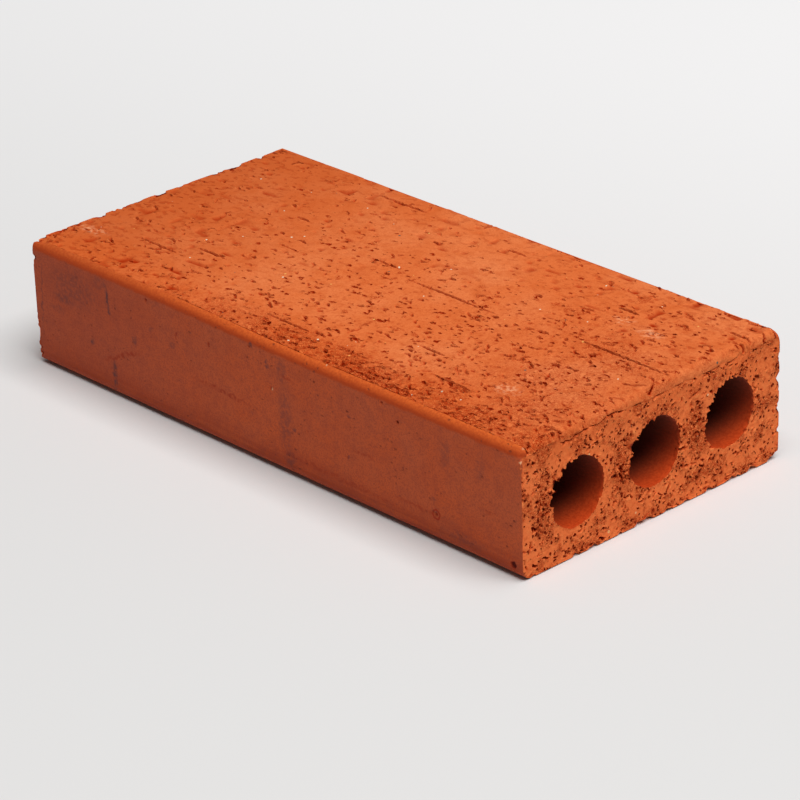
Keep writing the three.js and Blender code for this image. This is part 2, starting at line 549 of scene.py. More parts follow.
on = kinds == SCRAPED
spot = points[on]
on_lip_wall = np.abs(spot[:, 1]) > outline[outline_kinds == SCRAPED, 0].max() - 0.01
zone = crumbled_top(spot[:, 0], spot[:, 1])
wander = 0.3 * np.stack([noise(spot, 0.9, 1), noise(spot, 0.9, 2)])
wavy = 0.16 * noise(spot, 22, 3) + 0.09 * noise(spot, 7, 4)
crumble = 0.3 * zone * noise(spot, 1.9, 5)
softly = np.clip(smooth_step(spot[:, 0], 20, -60) + smooth_step(spot[:, 1], 0, 30), 0, 1)
scoops = 1.1 * np.clip(noise(spot / (1.4, 1, 1), 2.6, 6) - 0.45, 0, 0.5) * softly
tears = scraped.at(spot[:, 0] + wander[0], spot[:, 1] + wander[1]) + scoops
depth[on] = SKIM + wavy + crumble + tears
torn[on] = (tears + 0.4 * np.maximum(crumble, 0)) / TORN_FULL
# The wall of the lip step counts as torn, so the materials paint a line of shade along it
torn[on] += on_lip_wall * (0.5 + 0.7 * noise(spot, 4, 19))
print(f"scraped face: {depth[on].mean():.2f} mm below the box on average")

# %% Depth of the wire-cut ends
for side, face in cut_faces.items():
    on = (kinds == CUT) & (x * side > 0)
    spot = points[on]
    zone = crumbled_end(spot[:, 1], spot[:, 2])
    wander = 0.32 * np.stack([noise(spot, 0.9, 7), noise(spot, 0.9, 8)])
    wavy = 0.14 * noise(spot, 12, 9) + 0.14 * noise(spot, 4, 10)
    crumble = 0.5 * zone * noise(spot, 1.7, 11)
    tears = face.at(spot[:, 1] + wander[0], spot[:, 2] + wander[1])
    depth[on] = SKIM + wavy + crumble + tears
    torn[on] = (tears + 0.6 * np.maximum(crumble, 0)) / TORN_FULL
print(f"{(torn > 0.5).mean():.1%} of the points lie deep in a tear")

# %% Depth where steel left the clay smooth
DRAWN_OUT = (6, 1, 1)  # the die draws its marks out along the column
on = (kinds == SKIN) | (kinds == BED)
spot = points[on] / DRAWN_OUT
depth[on] = 0.05 + 0.03 * noise(spot, 9, 13) + 0.02 * noise(spot, 2.5, 14)
on = kinds == CORE
depth[on] = 0.04 * noise(points[on] / DRAWN_OUT, 5, 15)
print(f"core walls: up to {depth[on].max():.2f} mm deep")

# %% Pocks in the die skin
NEAR_SIDE = -WIDTH / 2  # its place in y
POCKS = [  # x, z, radius and depth in mm, on the near long side
    (68, 8.2, 0.7, 0.5), (54, 31, 0.5, 0.7), (48, 35.5, 0.6, 0.5), (-49, 35, 0.6, 0.5),
    (3.5, 24.5, 0.8, 0.4), (-5, 35, 0.5, 0.4), (35, 25.6, 0.5, 0.3), (96.4, 3.5, 1.2, 0.8),
    (-36.5, 28, 0.5, 0.3), (34, 13.7, 0.5, 0.3), (-22, 30, 0.5, 0.3), (18, 16, 0.6, 0.25),
]
for pock_x, pock_z, radius, pock_depth in POCKS:
    near = (kinds == SKIN) & (y < NEAR_SIDE + 2) & (np.hypot(x - pock_x, z - pock_z) < 2 * radius)
    away = np.hypot(x[near] - pock_x, z[near] - pock_z) / radius
    away += 0.35 * noise(points[near], 0.8, 18)
    dent = pock_depth * np.sqrt(np.clip(1 - away**2, 0, 1))
    depth[near] = np.maximum(depth[near], dent)
    # A pock counts as torn by its depth, so the die skin gives it painted shade
    torn[near] = np.maximum(torn[near], dent / TORN_FULL)
print(f"{len(POCKS)} pocks")

# %% [markdown]
# ## Broken arrises
#
# A wire leaves no bevel: it breaks small crumbs out of every edge that it crosses, most of all where
# it comes out at the bed and the far side. So depth is added near the outer edges of the ends
# wherever a noise of crumb size is high.

# %% Ragged arrises
EDGE_REACH = 3.0  # mm from the edges of an end within which crumbs break out
BREAKOUT_FADE = 1.1  # mm from an edge where they are about a third as deep as on it
from_end = END_X - np.abs(x)
roof = np.where(x > 0, CREASE_Z, HEIGHT)  # the upper edge of each cut face
to_edge = np.where(kinds == CUT, np.minimum.reduce([WIDTH / 2 - np.abs(y), z, roof - z]), from_end)
near = (to_edge < EDGE_REACH) & (kinds != CORE)
spot = points[near]
breakout = np.clip(noise(spot, 3.0, 16) + 0.7 * noise(spot, 1.2, 17) - 0.1, 0, 1.2)
at_bed = smooth_step(spot[:, 2], 4, 1)
at_left = smooth_step(spot[:, 0], 0, -1)
at_far = smooth_step(spot[:, 1], 45, 49)
at_roof = smooth_step(spot[:, 2], HEIGHT - 4, HEIGHT - 1)
strength = 0.35 + 1.5 * np.maximum(at_bed, at_far) + 1.1 * at_left + 0.25 * at_roof
depth[near] += strength * breakout * np.exp(-(to_edge[near] / BREAKOUT_FADE) ** 2)
print(f"{near.mean():.0%} of the points lie where crumbs break out")

# %% Worn upright edge
near = (x > 0) & (y < NEAR_SIDE + 4) & (kinds != CORE)
to_corner = np.hypot(from_end[near], y[near] - NEAR_SIDE)
worn = smooth_step(z[near], HEIGHT - 9, HEIGHT - 3)
depth[near] += worn * (0.8 + 0.5 * noise(points[near], 1.5, 52)) * np.exp(-(to_corner / 1.3) ** 2)

depth = np.maximum(depth, 0)
moved = points - normals * depth[:, None]
print(f"deepest tear {depth.max():.2f} mm")

# %% [markdown]
# ## Marks of wet handling
#
# A wet brick gives way where it is held and set down. The crease under the rolled arris sways, the
# near long edge sags toward the wire-cut end, and the bed is hollow along that edge, so that a dark
# gap shows over the floor. A depth along the normals can't bend the brick, so whole stretches of its
# skin are moved up or down.

# %% Wavy crease
by_y = points * (0, 1, 0)
sway = 0.6 * noise(by_y, 8, 50) + 0.3 * noise(by_y, 3, 51)
by_crease = smooth_step(np.abs(z - CREASE_Z), 3, 0) * smooth_step(x, END_X - ROLL_SETBACK, END_X - 0.2)
moved[:, 2] += sway * by_crease
print(f"the crease sways by {np.abs(sway * by_crease).max():.2f} mm")

# %% Sagging edge
SAG = 1.1  # mm that the near long edge sank toward +X as the clay dried
SAG_FROM, SAG_FULL = -50, 20  # along X
sagging = smooth_step(x, SAG_FROM, SAG_FULL) * smooth_step(y, 25, NEAR_SIDE)
sinking = SAG * sagging * smooth_step(z, HEIGHT - 11, HEIGHT - ARRIS_RADIUS)
moved[:, 2] -= sinking
print(f"{(sinking > 0).mean():.0%} of the points sag")

# %% Hollow bed
BED_RISE = 1.1  # mm that the bed stands clear of the floor along the near arris
clear = BED_RISE * smooth_step(y, -32, NEAR_SIDE + 2) * smooth_step(from_end, 1, 9)
moved[:, 2] = np.maximum(moved[:, 2], clear)
print(f"the bed stands up to {clear.max():.2f} mm clear")

# %% [markdown]
# ## Core mouths and corner
#
# The wire drags clay over the rim of each core, and it hangs into the hole as a crumbled burr on one
# side. It stands out from the wall, so it moves toward the core's axis, where the tears move along
# the normals. A knock took the corner off, so the skin there is pressed down onto a shallow bowl,
# which is the chip of the CAD part.

# %% Clay pushed into the core mouths
BURR_FROM, BURR_TO = math.radians(85), math.radians(205)  # anticlockwise from +Y, seen from +X
BURR_REACH = 1.3  # mm into the core
for number, (core_y, core_z) in enumerate(core_axes):
    away = np.hypot(y - core_y, z - core_z)
    near = (away < CORE_RADIUS + 4) & (from_end < 4) & ((kinds == CUT) | (kinds == CORE))
    spot = points[near]
    angle = np.arctan2(spot[:, 2] - core_z, spot[:, 1] - core_y) % (2 * math.pi)
    hump = np.sin(np.pi * np.clip((angle - BURR_FROM) / (BURR_TO - BURR_FROM), 0, 1)) ** 0.6
    crumble = 0.8 * noise(spot, 2.0, 20 + number) + noise(spot, 0.9, 30 + number)
    crumble += 0.7 * noise(spot, 0.5, 40 + number)
    fade = np.exp(-((away[near] - CORE_RADIUS) / 1.3) ** 2 - (from_end[near] / 1.2) ** 2)
    inward = (BURR_REACH * hump * (0.8 + 0.8 * crumble) + 0.25 * crumble * (1 - hump)) * fade
    radial = (spot[:, 1:] - (core_y, core_z)) / away[near][:, None]
    moved[near, 1:] -= inward[:, None] * radial
    bulge = 0.6 * hump * np.clip(crumble, 0, 1) * fade
    moved[near, 0] -= np.sign(spot[:, 0]) * bulge * (kinds[near] == CORE)
    # Crevices of the burr count as torn, so the materials give them painted shade
    torn[near] += 0.6 * hump * np.clip(-crumble, 0, 1) * fade
print(f"burrs reach {BURR_REACH} mm into {len(core_axes)} cores at both ends")

# %% Corner chip
CHIP = (6.0, 4.5, 1.1)  # the CAD part's own sizes, in mm
chip_share = 1 - ((moved[:, 0] + END_X) / CHIP[0]) ** 2 - ((moved[:, 1] - NEAR_SIDE) / CHIP[1]) ** 2
chip_roof = HEIGHT - CHIP[2] * np.sqrt(np.clip(chip_share, 0, 1))
chipped = (chip_share > 0) & (moved[:, 2] > chip_roof)
moved[chipped, 2] = chip_roof[chipped]
print(f"the chip takes {chipped.sum()} points down")

# %% [markdown]
# ## A lighter mesh
#
# An even grid spends most of its faces on flat clay. Decimate takes them from there, and last from
# the faces that show every tear. A collapse may leave a point just outside the old surface, so the
# points are held inside the CAD body's box afterwards.

# %% Lighter mesh
FACE_LIMIT = 196_000
SHARP_ANGLE = math.radians(38)
dense = mesh_from("dense_brick", moved, quads, quad_kinds)
dense.attributes.new("torn", "FLOAT", "POINT")
dense.attributes["torn"].data.foreach_set("value", np.clip(torn, -1, 1).astype(np.float32))
dense.polygons.foreach_set("use_smooth", np.ones(len(quads), bool))
dense_object = bpy.data.objects.new("dense_brick", dense)
bpy.context.scene.collection.objects.link(dense_object)

lighter = dense_object.modifiers.new("lighter", "DECIMATE")
lighter.ratio = min(1.0, FACE_LIMIT / (2 * len(quads)))
lighter.use_collapse_triangulate = True
evaluated = dense_object.evaluated_get(bpy.context.evaluated_depsgraph_get())
brick_mesh = bpy.data.meshes.new_from_object(evaluated)
brick_mesh.name = "fired_brick"
bpy.data.objects.remove(dense_object)

places = np.empty(len(brick_mesh.vertices) * 3, np.float32)
brick_mesh.vertices.foreach_get("co", places)
places = np.clip(places.reshape(-1, 3), np.array(cad_low, np.float32), np.array(cad_high, np.float32))
brick_mesh.vertices.foreach_set("co", places.ravel())
brick_mesh.update()
brick_mesh.set_sharp_from_angle(angle=SHARP_ANGLE)
brick = bpy.data.objects.new("fired_brick", brick_mesh)
bpy.context.scene.collection.objects.link(brick)
print(f"{len(brick_mesh.polygons)} triangles of {2 * len(quads)}")

# %% [markdown]
# ## A flat layout for baked maps
#
# The materials work in three dimensions and need no UV map, but a game engine wants the finish baked
# to pictures. Each kind of surface is laid out by its own formula: flat faces as they are, long sides
# with their arrises unrolled, cores unrolled round their axes. The torn faces that show most get the
# largest scale.

# %% Sheet for the flat layout
SHEET = 245.0  # mm that the whole layout measures each way
LAYOUT = {  # where each stretch of skin starts on the sheet in mm, and its scale
    "top": ((1, 1), 1.0), "end at +X": ((203, 1), 1.0), "end at -X": ((203, 103), 1.0),
    "near side": ((1, 103), 0.8), "far side": ((1, 141), 0.8), "bed": ((163, 103), 0.42),
    "core 0": ((1, 179), 0.5), "core 1": ((1, 212), 0.5), "core 2": ((103, 190), 0.5),
}
SHEAR = 0.3  # mm sideways for each mm down, which gives upright faces at an edge some width
print(f"a sheet {SHEET:.0f} mm each way holds {len(LAYOUT)} stretches of skin")

# %% Where each face lies on its stretch
corners = np.empty(len(brick_mesh.loops), np.int32)
brick_mesh.loops.foreach_get("vertex_index", corners)
corners = corners.reshape(-1, 3)  # every face is a triangle
face_kinds = np.empty(len(corners), np.int32)
brick_mesh.polygons.foreach_get("material_index", face_kinds)
x, y, z = np.moveaxis(places[corners] / MM, -1, 0)
middle_x, middle_y, middle_z = x.mean(axis=1), y.mean(axis=1), z.mean(axis=1)

below_top = np.clip(HEIGHT - z, 0, ROLL_DROP + ARRIS_RADIUS)
along = x + END_X + SHEAR * below_top * smooth_step(x, END_X - ROLL_SETBACK, END_X)
past_lip = smooth_step(np.abs(y), WIDTH / 2 - ARRIS_RADIUS, WIDTH / 2 - 2)
round_arris = np.where(z > HEIGHT / 2, WIDTH / 2 - np.abs(y), np.abs(y) - WIDTH / 2)
up_side = z + round_arris + ARRIS_RADIUS
stretches = {
    "top": (face_kinds == SCRAPED, along, y + WIDTH / 2 + SHEAR * below_top * np.sign(y) * past_lip),
    "end at +X": ((face_kinds == CUT) & (middle_x > 0), z, y + WIDTH / 2),
    "end at -X": ((face_kinds == CUT) & (middle_x < 0), z, y + WIDTH / 2),
    "near side": ((face_kinds == SKIN) & (middle_y < 0), along, up_side),
    "far side": ((face_kinds == SKIN) & (middle_y > 0), along, up_side),
    "bed": (face_kinds == BED, y + WIDTH / 2 - ARRIS_RADIUS, x + END_X),
}
for number, (core_y, core_z) in enumerate(core_axes):
    in_core = (face_kinds == CORE) & (np.abs(middle_y - core_y) < CORE_RADIUS + 2)
    middle = np.arctan2(middle_z - core_z, middle_y - core_y)[:, None]
    turn = np.arctan2(z - core_z, y - core_y) - middle
    turn = (turn + np.pi) % (2 * np.pi) - np.pi
    stretches[f"core {number}"] = (in_core, along, (middle + turn + np.pi) * CORE_RADIUS)
print(f"{sum(chosen.sum() for chosen, u, v in stretches.values())} faces have a place")

# %% The layout as a UV map
layout = np.full((len(corners), 3, 2), np.nan)
for name, (chosen, u, v) in stretches.items():
    start, scale = LAYOUT[name]
    layout[chosen] = (np.array(start) + scale * np.stack([u, v], axis=-1)[chosen]) / SHEET
uv_map = brick_mesh.uv_layers.new(name="OFBake")
uv_map.data.foreach_set("uv", layout.astype(np.float32).ravel())
edges = layout[:, 1:] - layout[:, :1]
uv_areas = np.abs(np.cross(edges[:, 0], edges[:, 1])) / 2
thin = uv_areas * SHEET**2 < 1e-4  # mm2
print(f"layout: {uv_areas.sum():.0%} of the sheet, {thin.sum()} faces thin as a line")

# %% [markdown]
# ## Colours and nodes
#
# A colour picked on a screen is an sRGB code, and the renderer adds up linear light, so one function
# turns the first into the second. Each material is a tree of nodes, and one function adds any node.
# What recurs in fired clay, such as tears, crumbs and specks, is a pattern built from those nodes.

# %% Colours and nodes
def colour(hex_code):
    """An sRGB hex colour as linear RGBA."""
    shares = [int(hex_code[i:i + 2], 16) / 255 for i in (1, 3, 5)]
    return tuple(s / 12.92 if s <= 0.04045 else ((s + 0.055) / 1.055) ** 2.4 for s in shares) + (1.0,)


SOFT = {"interpolation_type": "SMOOTHSTEP"}  # a Map Range that eases in and out
TINT = {"data_type": "RGBA"}  # a Mix of two colours
TIMES = {"operation": "MULTIPLY"}
MINUS = {"operation": "SUBTRACT"}
MOST = {"operation": "MAXIMUM"}  # the larger of two values, as where tears overlap


def add(tree, kind, *inputs, output=None, **settings):
    """Adds a node with its settings and returns the output of that name, or else its first one.

    Inputs go to the sockets that the node then shows, in order. A socket is linked, a hex code
    becomes a colour, None leaves a socket alone and anything else is set.
    """
    node = tree.nodes.new("ShaderNode" + kind)
    for name, value in settings.items():
        setattr(node, name, value)
    shown = [socket for socket in node.inputs if socket.enabled]
    for socket, value in zip(shown, inputs):
        if isinstance(value, bpy.types.NodeSocket):
            tree.links.new(value, socket)
        elif value is not None:
            socket.default_value = colour(value) if isinstance(value, str) else value
    outputs = [socket for socket in node.outputs if socket.enabled]
    return next(socket for socket in outputs if output in (None, socket.name))


mid_grey = colour("#808080")[0]
print(f"a mid grey on the screen is {mid_grey:.0%} of white in linear light")


# %% Starting and finishing a material
def start_material(name, roughness, specular):
    """An empty material: itself, its tree, its shader and the surface's place in millimetres."""
    material = bpy.data.materials.new(name)
    material.use_nodes = True
    tree = material.node_tree
    shader = tree.nodes["Principled BSDF"]
    shader.inputs["Roughness"].default_value = roughness
    shader.inputs["IOR"].default_value = 1.5  # of clay's silicates, and about that of paper
    shader.inputs["Specular IOR Level"].default_value = specular
    place = add(tree, "TexCoord", output="Object")
    return material, tree, shader, add(tree, "VectorMath", place, 1 / MM, operation="SCALE")


def finish_material(tree, shader, tone, height):
    """Joins the colour, and a height in mm, to the shader."""
    tree.links.new(tone, shader.inputs["Base Color"])
    tree.links.new(add(tree, "Bump", 1.0, MM, None, height), shader.inputs["Normal"])


# %% Noise, patches and warping
OFF_LATTICE = (0.37, 0.37, 0.37)  # keeps flat faces off whole numbers, where noise is weak and wormy


def noise_at(tree, place, size, detail=2.0, stretch=(1, 1, 1)):
    """Noise, mostly from 0.3 to 0.7, with features of one size in mm, drawn out along each axis."""
    scale = tuple(1 / (size * s) for s in stretch)
    scaled = add(tree, "VectorMath", place, scale, OFF_LATTICE, operation="MULTIPLY_ADD")
    return add(tree, "TexNoise", scaled, 1.0, detail)


def patches(tree, place, size, detail, start, end, least=0.0, most=1.0, stretch=(1, 1, 1)):
    """Noise of one size in mm as soft patches: least where it is below start, most from end on."""
    pattern = noise_at(tree, place, size, detail, stretch)
    return add(tree, "MapRange", pattern, start, end, least, most, **SOFT)


def warped(tree, place, size, reach):
    """Place, moved about by up to half of reach in mm, so that straight edges turn ragged."""
    wander = add(tree, "TexNoise", place, 1 / size, 2.0, output="Color")
    wander = add(tree, "VectorMath", wander, (0.5, 0.5, 0.5), **MINUS)
    wander = add(tree, "VectorMath", wander, reach, operation="SCALE")
    return add(tree, "VectorMath", place, wander)


# %% Small tears
def small_tears(tree, place, size, spared, across, shallow, stretch=(1, 1, 1)):
    """Depth and rim, both from 0 to 1, of tears that are too many to draw one by one.

    Each cell of a size in mm holds one, unless its chance is below spared. Across names the axis
    that the steep wall faces along. The other side is as deep as shallow says, with a lifted rim.
    """
    scale = tuple(1 / (size * s) for s in stretch)
    ragged = warped(tree, place, 0.7 * size, 0.9 * size)
    ragged = warped(tree, ragged, 0.3 * size, 0.6 * size)
    ragged = add(tree, "VectorMath", ragged, scale, **TIMES)
    cells = add(tree, "TexVoronoi", ragged, 1.0).node.outputs
    chance = add(tree, "SeparateColor", cells["Color"])
    torn = add(tree, "Math", chance, spared, operation="GREATER_THAN")
    radius = add(tree, "MapRange", chance, spared, 1.0, 0.1, 0.42)
    inside = add(tree, "Math", radius, cells["Distance"], **MINUS)
    pit = add(tree, "MapRange", inside, -0.1, 0.08, **SOFT)
    pit = add(tree, "Math", pit, torn, **TIMES)
    from_middle = add(tree, "VectorMath", ragged, cells["Position"], **MINUS)
    side = add(tree, "SeparateXYZ", from_middle, output=across)
    slope = add(tree, "MapRange", side, -0.15, 0.18, shallow, 1.0, **SOFT)
    beside = add(tree, "MapRange", inside, -0.2, -0.04, **SOFT)
    near_side = add(tree, "MapRange", side, 0.0, -0.2, **SOFT)
    rim = add(tree, "Math", beside, near_side, **TIMES)
    rim = add(tree, "Math", rim, torn, **TIMES)
    return add(tree, "Math", pit, slope, **TIMES), rim


# %% Crumbs, flakes and relief
def crumbs(tree, place, size):
    """Height from 0 in the crevices to 1 on top of crumbs of one size in mm."""
    away = add(tree, "TexVoronoi", warped(tree, place, 0.9 * size, 0.9 * size), 1 / size)
    return add(tree, "MapRange", away, 0.1, 0.7, 1.0, 0.0, **SOFT)


def flakes(tree, place, size, stretch):
    """Flakes that lap over each other: height, crack at each edge, and lip beside it, from 0 to 1."""
    ragged = warped(tree, place, 0.6 * size, 0.6 * size)
    slope = noise_at(tree, ragged, size, 2, stretch)
    height, cracks, lips = 0.0, 0.0, 0.0
    levels = (0.38, 0.46, 0.54, 0.62)
    for level in levels:
        step = add(tree, "MapRange", slope, level, level + 0.01)
        before = add(tree, "MapRange", slope, level - 0.07, level - 0.01)
        after = add(tree, "MapRange", slope, level + 0.04, level + 0.015)
        crack = add(tree, "Math", before, step, **MINUS)
        lip = add(tree, "Math", after, step, **TIMES)
        height = add(tree, "Math", height, add(tree, "Math", step, 1 / len(levels), **TIMES))
        cracks = add(tree, "Math", cracks, crack, **MOST)
        lips = add(tree, "Math", lips, lip, **MOST)
    return height, cracks, lips


def with_relief(tree, height, *parts):
    """A height with more relief on it. Each part is a pattern and how high it stands."""
    for pattern, part_mm in parts:
        height = add(tree, "Math", pattern, part_mm, height, operation="MULTIPLY_ADD")
    return height


# %% Specks and smudges
def specks(tree, place, tone, cell, share, radius, hex_code):
    """Hard grains in the clay: one in some of the cells. Cell and radius are in mm."""
    cells = add(tree, "TexVoronoi", place, 1 / cell).node.outputs
    chance = add(tree, "SeparateColor", cells["Color"], output="Green")
    reach = add(tree, "MapRange", chance, 1 - share, 1.0, 0.3 * radius / cell, radius / cell, **SOFT)
    there = add(tree, "Math", chance, 1 - share, operation="GREATER_THAN")
    inside = add(tree, "Math", reach, cells["Distance"], **MINUS)
    inside = add(tree, "MapRange", inside, 0.0, 0.15 / cell, **SOFT)
    inside = add(tree, "Math", inside, there, **TIMES)
    return add(tree, "Mix", inside, tone, hex_code, **TINT)


def smudge(tree, place, centre, reach, angle=0.0):
    """1 at a centre, falling to 0 at the reach along each axis, turned by an angle about Y."""
    local = add(tree, "Mapping", place, centre, (0.0, angle, 0.0), reach, vector_type="TEXTURE")
    away = add(tree, "VectorMath", local, operation="LENGTH")
    return add(tree, "MapRange", away, 1.0, 0.25, **SOFT)


# %% [markdown]
# ## Fired clay
#
# Red brick clay gets its colour from iron that the kiln turned to rust. It is the same right through,
# but never even: clouds as wide as a thumb from the firing, mottling where the clay was mixed, and
# sand that shows as a fine grain. Where the clay tore, it gets painted shade, darker and redder, and a
# lifted crumb gets a painted highlight, partly where it was rubbed paler.

# %% Colours of the clay
CLAY = "#DF713B"
CLAY_LIGHT = "#E7804B"
CLAY_DEEP = "#D0612D"
SAND = "#BC4E1E"
# Painted shade: tears, cracks, dents, pocks and other hollows are painted darker and redder
RECESS_SHADE = "#A42600"
DEEP_RECESS_SHADE = "#540A00"  # painted shade on the floor of a deep tear
# Painted highlight on lifted rims, lips and grit, partly clay rubbed paler
RUBBED_AND_HIGHLIT_CLAY = "#F68E50"
CLOUD, MOTTLE = 28, 5  # mm
SAND_GRAIN = 0.5  # mm, coarser than the real one, which wouldn't show


def clay_tone(tree, place):
    """The even clay: clouds, mottling and grains of sand."""
    cloud = patches(tree, place, CLOUD, 3, 0.35, 0.65)
    mottle = patches(tree, place, MOTTLE, 4, 0.45, 0.7, 0.0, 0.5)
    grain = patches(tree, place, SAND_GRAIN, 3, 0.35, 0.65, 0.0, 0.3)
    tone = add(tree, "Mix", cloud, CLAY, CLAY_LIGHT, **TINT)
    tone = add(tree, "Mix", mottle, tone, CLAY_DEEP, **TINT)
    return add(tree, "Mix", grain, tone, SAND, **TINT)


# %% [markdown]
# ## Torn clay
#
# The scraped face and the cut ends are the same clay, torn in two ways, so they share one finish.
# The big tears are in the mesh. Between them lie tears of a millimetre or two, crumbs, flakes that
# lap over each other, and grit. Each is a pattern of its own, which moves the surface, or paints shade
# on the clay where it is sunk and a highlight where it is raised, or does both.

# %% Grit
GRIT = 1.3  # mm, coarser than the real one, which wouldn't show


def grit(tree, place, zone):
    """How sunk and how raised the grit looks, from 0 to 1. It adds no height: the sunk part gets painted
    shade and the raised part a painted highlight.
    """
    pattern = noise_at(tree, place, GRIT, 4)
    strength = add(tree, "MapRange", zone, -0.6, 0.7)
    sunk = add(tree, "MapRange", pattern, 0.5, 0.68, 0.0, 0.5, **SOFT)
    risen = add(tree, "MapRange", pattern, 0.47, 0.33, 0.0, 0.9, **SOFT)
    return add(tree, "Math", sunk, strength, **TIMES), add(tree, "Math", risen, strength, **TIMES)


# %% Small relief of torn clay
SPARED, CRUMBLED = 0.78, 0.48  # chance below which a cell has no tear: on plain and on crumbled clay
SPARED_WHOLE = 0.22  # and how much that chance grows on clay that is nearly whole
FULL_CELL = 1.2  # mm from which a cell's tear is drawn at full strength
CRUMB, FINE_CRUMB, FLAKE, ROUGHNESS = 1.3, 0.7, 2.0, 0.6  # mm across


def torn_relief(tree, place, zone, cells, across, shallow, stretch):
    """Height in mm of what is torn in small, and the patterns that get painted shade where sunk and a
    painted highlight where raised.
    """
    spared = add(tree, "MapRange", zone, 0.0, 1.0, SPARED, CRUMBLED)
    spared = add(tree, "Math", spared, add(tree, "MapRange", zone, 0.0, -1.0, 0.0, SPARED_WHOLE))
    pits, rims = 0.0, 0.0
    for size in cells:
        pit, rim = small_tears(tree, place, size, spared, across, shallow, stretch)
        pit = add(tree, "Math", pit, min(1.0, size / FULL_CELL), **TIMES)
        pits = add(tree, "Math", pits, pit, **MOST)
        rims = add(tree, "Math", rims, rim, **MOST)

    flaky, cracks, lips = flakes(tree, place, FLAKE, stretch)
    here = add(tree, "Math", patches(tree, place, 3.5, 2, 0.6, 0.72), zone, **MOST)
    here = add(tree, "Math", here, add(tree, "MapRange", zone, -0.5, 0.0), **TIMES)
    flaky, cracks, lips = (add(tree, "Math", part, here, **TIMES) for part in (flaky, cracks, lips))
    faint_cracks = add(tree, "Math", cracks, 0.75, **TIMES)
    sunk_grit, risen_grit = grit(tree, place, zone)

    lumps = with_relief(tree, crumbs(tree, place, CRUMB), (crumbs(tree, place, FINE_CRUMB), 0.45))
    lump_mm = add(tree, "MapRange", zone, 0.0, 1.0, 0.03, 0.22, **SOFT)
    rough = noise_at(tree, place, ROUGHNESS, 3)
    height = with_relief(
        tree, 0.0, (lumps, lump_mm), (flaky, 0.35), (rough, 0.16), (rims, 0.1), (pits, -0.4),
    )
    return height, (pits, sunk_grit, faint_cracks), (rims, lips, risen_grit)


# %% Colour of torn clay
def torn_clay(tree, place, tone, zone, cells, across, shallow, pale, deepest, stretch=(1, 1, 1)):
    """Colour, and height in mm, of clay that was torn.

    Zone is 1 where it crumbled, 0 where it is plain and -1 where it is nearly whole. Cells lists the
    sizes in mm of the cells that hold a small tear each. Across and shallow say how those tears lie.
    Pale and deepest say how strong the painted highlight on a lifted rim and the painted shade on the
    floor of a deep tear are.
    """
    height, sunk, risen = torn_relief(tree, place, zone, cells, across, shallow, stretch)
    torn = add(tree, "Attribute", attribute_name="torn", output="Fac")
    # Painted shade: where a tear, crack or grit is sunk the clay is painted darker and redder, darkest on
    # the floor of a deep tear
    dark = add(tree, "MapRange", torn, 0.1, 0.9)
    for pattern in sunk:
        dark = add(tree, "Math", dark, pattern, **MOST)
    dark = add(tree, "Math", dark, add(tree, "MapRange", zone, -0.7, 0.1, 0.55, 1.0), **TIMES)
    # Painted highlight: lifted lips and rims and raised grit are painted paler
    lifted = add(tree, "MapRange", torn, -0.04, -0.3, 0.0, 0.9, **SOFT)
    for pattern in risen:
        lifted = add(tree, "Math", lifted, pattern, **MOST)
    tone = add(tree, "Mix", add(tree, "Math", lifted, pale, **TIMES), tone, RUBBED_AND_HIGHLIT_CLAY, **TINT)
    tone = add(tree, "Mix", add(tree, "MapRange", dark, 0.05, 0.7), tone, RECESS_SHADE, **TINT)
    tone = add(tree, "Mix", add(tree, "MapRange", dark, 0.65, 1.0, 0.0, deepest), tone, DEEP_RECESS_SHADE, **TINT)
    return tone, height


# %% [markdown]
# ## Scraped clay
#
# The upper face: wet clay scraped by a steel blade, then fired, with nothing over it. Fired clay is
# matt, because its surface is open pores, so its roughness is near 1 and its gloss is weak. The blade
# crumbled it most along the near edge and toward the right end, so the relief is stronger there.
# Pale patches are where the brick was rubbed against another.

# %% Scraped clay: where it is torn
scraped_clay, tree, shader, place = start_material("scraped_clay", roughness=0.95, specular=0.04)
x_place = add(tree, "SeparateXYZ", place, output="X")
y_place = add(tree, "SeparateXYZ", place, output="Y")
near_edge = add(tree, "MapRange", y_place, -30.0, -44.0, **SOFT)
less_at_left = add(tree, "MapRange", x_place, 30.0, -80.0, 1.0, 0.55, **SOFT)
near_edge = add(tree, "Math", near_edge, less_at_left, **TIMES)
right = add(tree, "MapRange", x_place, 10.0, 90.0, 0.0, 0.6, **SOFT)
zone = add(tree, "Math", near_edge, right, **MOST)
zone = add(tree, "Math", zone, patches(tree, place, 9, 2, 0.35, 0.6, 0.55, 1.0), **TIMES)
toward_left = add(tree, "MapRange", x_place, 0.0, -110.0, 0.0, 0.7, **SOFT)
far_side = add(tree, "MapRange", y_place, 0.0, 45.0, 0.0, 0.5, **SOFT)
softer = add(tree, "Math", toward_left, far_side, **MOST)
zone = add(tree, "Math", zone, softer, **MINUS)

# %% Scraped clay: torn, dented and grooved
LEFT_CLAY_AND_SHADE, RAW_CLAY = "#BE5424", "#D65E24"  # toward the left end, partly painted shade and partly the clay's tone; and raw along the near edge
LIP_GROOVE = WIDTH / 2 - 1.75  # mm from the middle, just inside the lip
tone = add(tree, "Mix", toward_left, clay_tone(tree, place), LEFT_CLAY_AND_SHADE, **TINT)
tone = add(tree, "Mix", add(tree, "Math", near_edge, 0.5, **TIMES), tone, RAW_CLAY, **TINT)
tone, height = torn_clay(
    tree, place, tone, zone, cells=(2.2, 1.5), across="Y", shallow=0.3, pale=0.3, deepest=0.6,
    stretch=(1.4, 1, 1),
)
relief = add(tree, "MapRange", near_edge, 0.0, 1.0, 0.5, 0.9)
height = add(tree, "Math", height, relief, **TIMES)
dents = patches(tree, place, 1.7, 4, 0.52, 0.66, 0.0, 0.6, (1.5, 1, 1))
